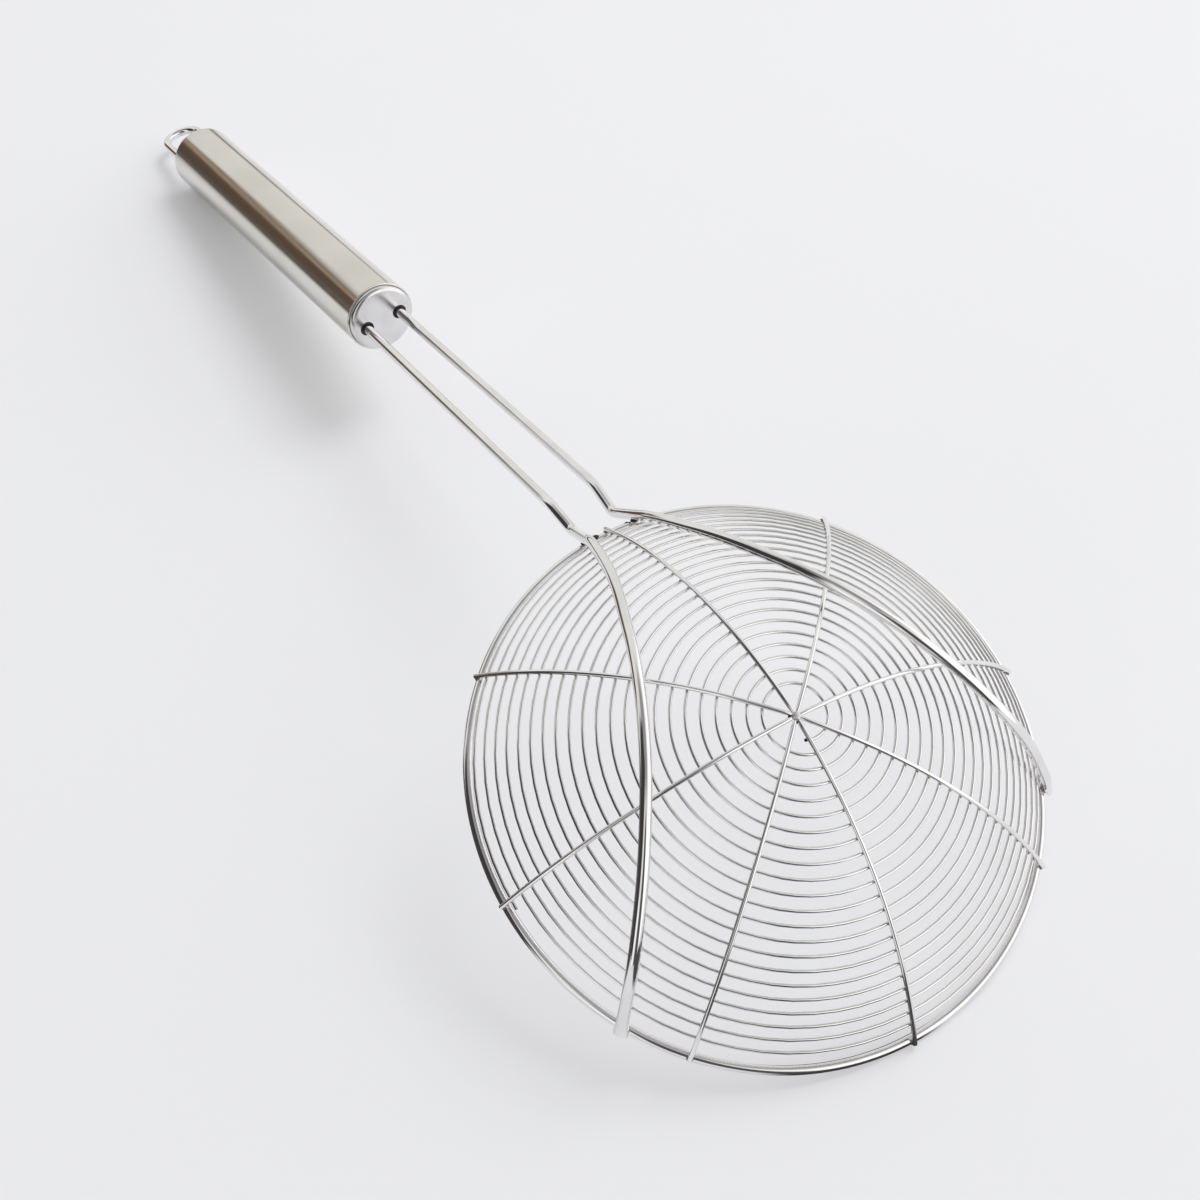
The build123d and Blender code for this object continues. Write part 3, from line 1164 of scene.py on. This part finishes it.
@dataclass(frozen=True)
class Patch:
    """A dark or bright part of the room, or a dark patch painted on the floor for glossy rays
    alone, which the polished wires mirror.

    Attributes:
        azimuth: Azimuth of its middle, in degrees.
        elevation: Elevation of its middle, in degrees.
        half_wide: Half its width, in degrees.
        half_high: Half its height, in degrees.
        edge: Width of its soft edge, outside the rest, in degrees.
        colour: Its colour.
    """

    azimuth: float
    elevation: float
    half_wide: float
    half_high: float
    edge: float
    colour: Colour

    def paint(self, net: Net, azimuth: Value, elevation: Value, under: Value) -> NodeSocket:
        """Paints the patch over the room.

        Args:
            net: The nodes.
            azimuth: Azimuth of the direction looked at, in radians.
            elevation: Its elevation, in radians.
            under: The room's colour so far.

        Returns:
            The room's colour with the patch.
        """
        outside = []
        for angle, middle, half in ((azimuth, self.azimuth, self.half_wide),
                                    (elevation, self.elevation, self.half_high)):
            off = net.math("SUBTRACT", angle, math.radians(middle))
            off = net.math("ABSOLUTE", net.math("WRAP", off, math.pi, -math.pi))
            outside.append(net.math("SUBTRACT", off, math.radians(half)))
        cover = net.ease(net.math("MAXIMUM", *outside), (math.radians(self.edge), 0.0))
        return net.mix(cover, under, (*self.colour, 1.0))


@dataclass(frozen=True)
class Lamp:
    """A round soft lamp that shines on the origin.

    Attributes:
        name: Its name.
        azimuth: Azimuth of its place, in degrees.
        elevation: Elevation of its place, in degrees.
        away: Its distance, in metres.
        width: Its diameter, in metres.
        power: Its power, in watts.
        colour: Its colour.
    """

    name: str
    azimuth: float
    elevation: float
    away: float
    width: float
    power: float
    colour: Colour = (0.985, 0.99, 1.0)

    def hang(self) -> None:
        """Hangs the lamp, unseen in the metal."""
        light = bpy.data.lights.new(self.name, "AREA")
        light.shape = "DISK"
        light.size = self.width
        light.energy = self.power
        light.color = self.colour
        holder = bpy.data.objects.new(self.name, light)
        bpy.context.collection.objects.link(holder)
        turn, rise = math.radians(self.azimuth), math.radians(self.elevation)
        way = Vector((math.cos(turn) * math.cos(rise), math.sin(turn) * math.cos(rise),
                      math.sin(rise)))
        holder.location = way * self.away
        holder.visible_glossy = False
        holder.rotation_euler = way.to_track_quat("Z", "Y").to_euler()


@dataclass
class Studio:
    """Pale floor, soft light and the camera."""

    rest: Rest
    camera_from_rim: Triple = (0.243055, -0.18198, 0.39036)
    camera_turn: Triple = (47.177, 2.316, 58.693)
    lens: float = 61.88
    shift: Pair = (0.0267, -0.14)
    floor_size: float = 1.7
    floor_colour: Colour = (0.885, 0.888, 0.914)
    fleck_scale: float = 6.0
    fleck_shade: float = 0.985
    # A glow that only the camera sees: painted light that makes shadows on the floor paler, most of
    # all round the basket.
    shadow_lifting_glow: Colour = (0.85, 0.852, 0.872)
    shadow_lift_share: Pair = (0.15, 0.62)
    shadow_lift_reach: Pair = (0.14, 0.06)
    shadow_lift_shift: Pair = (-0.02, 0.015)
    # Painted reflections: dark parts of the floor that only glossy rays see, a strip behind the
    # handle and patches round the basket.
    dark_reflection_heading: float = math.radians(-149.0)
    dark_reflection_reach: Pair = (0.18, 0.30)
    dark_reflection_colour: Colour = (0.11, 0.085, 0.07)
    painted_reflection_patches: tuple[Patch, ...] = (
        Patch(-114.0, -20.0, 22.0, 20.0, 8.0, (0.07, 0.06, 0.06)),
        Patch(-14.0, -17.0, 13.0, 17.0, 8.0, (0.07, 0.065, 0.065)),
    )
    eye_height: float = 0.035
    backdrop_colour: Colour = (0.91, 0.913, 0.935)
    room_colour: Colour = (0.9, 0.9, 0.87)
    room_strength: float = 0.92
    patches: tuple[Patch, ...] = (
        Patch(0.0, 90.0, 180.0, 18.0, 22.0, (0.34, 0.34, 0.35)),
        Patch(52.0, 4.0, 48.0, 32.0, 22.0, (1.4, 1.39, 1.37)),
        Patch(-60.0, 2.0, 9.0, 18.0, 9.0, (1.15, 1.15, 1.15)),
        Patch(-105.0, 28.0, 23.0, 38.0, 12.0, (0.055, 0.05, 0.05)),
        Patch(-156.0, 5.0, 10.0, 12.0, 7.0, (0.12, 0.08, 0.06)),
        Patch(-160.0, 15.0, 9.0, 0.9, 1.4, (0.5, 0.37, 0.27)),
        Patch(-24.0, 16.0, 16.0, 34.0, 10.0, (0.1, 0.097, 0.097)),
    )
    lamps: tuple[Lamp, Lamp] = (Lamp("key", 100.0, 58.0, 2.6, 1.5, 25.0),
                                Lamp("fill", -100.0, 74.0, 2.6, 3.6, 6.0))

    def build(self) -> None:
        """Sets the whole studio up."""
        bpy.context.scene.view_settings.view_transform = "Standard"
        self.camera()
        self.floor()
        self.sky()
        for lamp in self.lamps:
            lamp.hang()

    def camera(self) -> None:
        """Places the camera."""
        view = bpy.data.cameras.new("camera")
        view.lens = self.lens
        view.sensor_width = 36.0
        view.sensor_fit = "HORIZONTAL"
        view.shift_x, view.shift_y = self.shift
        view.clip_start = 0.01
        holder = bpy.data.objects.new("camera", view)
        bpy.context.collection.objects.link(holder)
        holder.location = self.rest.centre + Vector(self.camera_from_rim)
        holder.rotation_euler = [math.radians(turn) for turn in self.camera_turn]
        bpy.context.scene.camera = holder

    def floor(self) -> None:
        """Lays the floor, which keeps the part's shadow."""
        deselect_all()
        bpy.ops.mesh.primitive_plane_add(size=self.floor_size, location=(0, 0, 0))
        floor = bpy.context.object
        floor.name = "floor"
        floor.data.materials.append(self.paper())

    def paper(self) -> Material:
        """Makes the floor's paper. To the camera it glows, a little everywhere and most round the
        basket: painted light that makes the part's shadow paler.

        Returns:
            The new material.
        """
        made = bpy.data.materials.new("paper")
        net = Net(made)
        ray = net.add("ShaderNodeLightPath").outputs
        place = net.add("ShaderNodeTexCoord").outputs["Object"]
        flecks = net.add("ShaderNodeTexNoise", {"Vector": place, "Scale": self.fleck_scale})
        shaded = tuple(part * self.fleck_shade for part in self.floor_colour)
        plain = net.ramp(flecks.outputs["Fac"], (0.0, shaded), (1.0, self.floor_colour))
        centre = (self.rest.centre.x, self.rest.centre.y, 0.0)
        shift = net.vector("SUBTRACT", place, centre).outputs["Vector"]
        shader = net.get("Principled BSDF")
        shader.inputs["Roughness"].default_value = 0.9
        shader.inputs["Specular IOR Level"].default_value = 0.1
        # Glossy rays see the floor with painted dark reflections; other rays see the plain paper.
        colour = net.mix(ray["Is Glossy Ray"], plain, self.painted_reflections(net, place, shift, plain))
        net.link(colour, shader.inputs["Base Color"])
        # Painted light: the glow's share grows towards the middle of the basket, so that the shadow
        # under it looks paler.
        away = net.vector("DISTANCE", shift, (*self.shadow_lift_shift, 0.0)).outputs["Value"]
        share = net.ease(away, self.shadow_lift_reach, self.shadow_lift_share)
        glow = net.add("ShaderNodeEmission", {"Color": (*self.shadow_lifting_glow, 1.0)})
        blend = net.add("ShaderNodeMixShader", {
            "Fac": net.math("MULTIPLY", ray["Is Camera Ray"], share),
            1: shader.outputs["BSDF"], 2: glow.outputs["Emission"]})
        net.link(blend.outputs["Shader"], net.get("Material Output").inputs["Surface"])
        return made

    def painted_reflections(self, net: Net, place: Value, shift: Value, plain: Value) -> NodeSocket:
        """Paints dark parts on the floor that only glossy rays see: painted reflections for the
        metal.

        Args:
            net: The paper's nodes.
            place: The point of the floor.
            shift: Its way from the middle of the rim.
            plain: The paper's colour.

        Returns:
            The colour with a painted dark reflection behind the handle and painted dark patches
            round the basket.
        """
        toward = (math.cos(self.dark_reflection_heading), math.sin(self.dark_reflection_heading), 0.0)
        spot = net.vector("DOT_PRODUCT", place, toward).outputs["Value"]
        colour = net.mix(net.ease(spot, self.dark_reflection_reach), plain, (*self.dark_reflection_colour, 1.0))
        parts = net.add("ShaderNodeSeparateXYZ", {"Vector": shift}).outputs
        azimuth = net.math("ARCTAN2", parts["Y"], parts["X"])
        away = net.vector("LENGTH", shift).outputs["Value"]
        elevation = net.math("ARCTAN2", -self.eye_height, away)
        for patch in self.painted_reflection_patches:
            colour = patch.paint(net, azimuth, elevation, colour)
        return colour

    def sky(self) -> None:
        """Surrounds the part with a room whose dark and bright parts only the metal shows."""
        world = bpy.data.worlds.new("room")
        bpy.context.scene.world = world
        net = Net(world)
        way = net.add("ShaderNodeTexCoord").outputs["Generated"]
        parts = net.add("ShaderNodeSeparateXYZ", {"Vector": way}).outputs
        azimuth = net.math("ARCTAN2", parts["Y"], parts["X"])
        elevation = net.math("ARCSINE", parts["Z"])
        colour = (*self.room_colour, 1.0)
        for patch in self.patches:
            colour = patch.paint(net, azimuth, elevation, colour)
        ray = net.add("ShaderNodeLightPath").outputs
        colour = net.mix(ray["Is Camera Ray"], colour, (*self.backdrop_colour, 1.0))
        ground = net.get("Background")
        net.link(colour, ground.inputs["Color"])
        ground.inputs["Strength"].default_value = self.room_strength


def put_finish(piece: Object, material: Material) -> None:
    """Gives a piece one material in every slot.

    Args:
        piece: The piece.
        material: The material.
    """
    if not piece.material_slots:
        piece.data.materials.append(material)
    for holder in piece.material_slots:
        holder.material = material


def dress(piece: Object, materials: dict[Finish, Material], finish: Finish,
          *nodes: str) -> None:
    """Finishes a piece and puts it in the model.

    Args:
        piece: The piece.
        materials: The material of each finish.
        finish: The piece's finish.
        *nodes: The nodes that it stands for.
    """
    put_finish(piece, materials[finish])
    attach(piece, ROOT)
    if nodes:
        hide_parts(*nodes)
    log.info("%s: %d faces", piece.name, len(piece.data.polygons))


def main() -> None:
    """Builds the skimmer and its studio."""
    logging.basicConfig(level=logging.INFO, format="%(name)s: %(message)s")
    materials = {finish: steel.material() for finish, steel in FINISHES.items()}
    rest = Rest()
    dome = Dome()
    Studio(rest).build()
    Basket(dome, rest, materials).build()
    handle = Handle(rest, materials)
    handle.build()
    Fork(dome, handle, rest, materials).build()


if __name__ == "__main__":
    main()
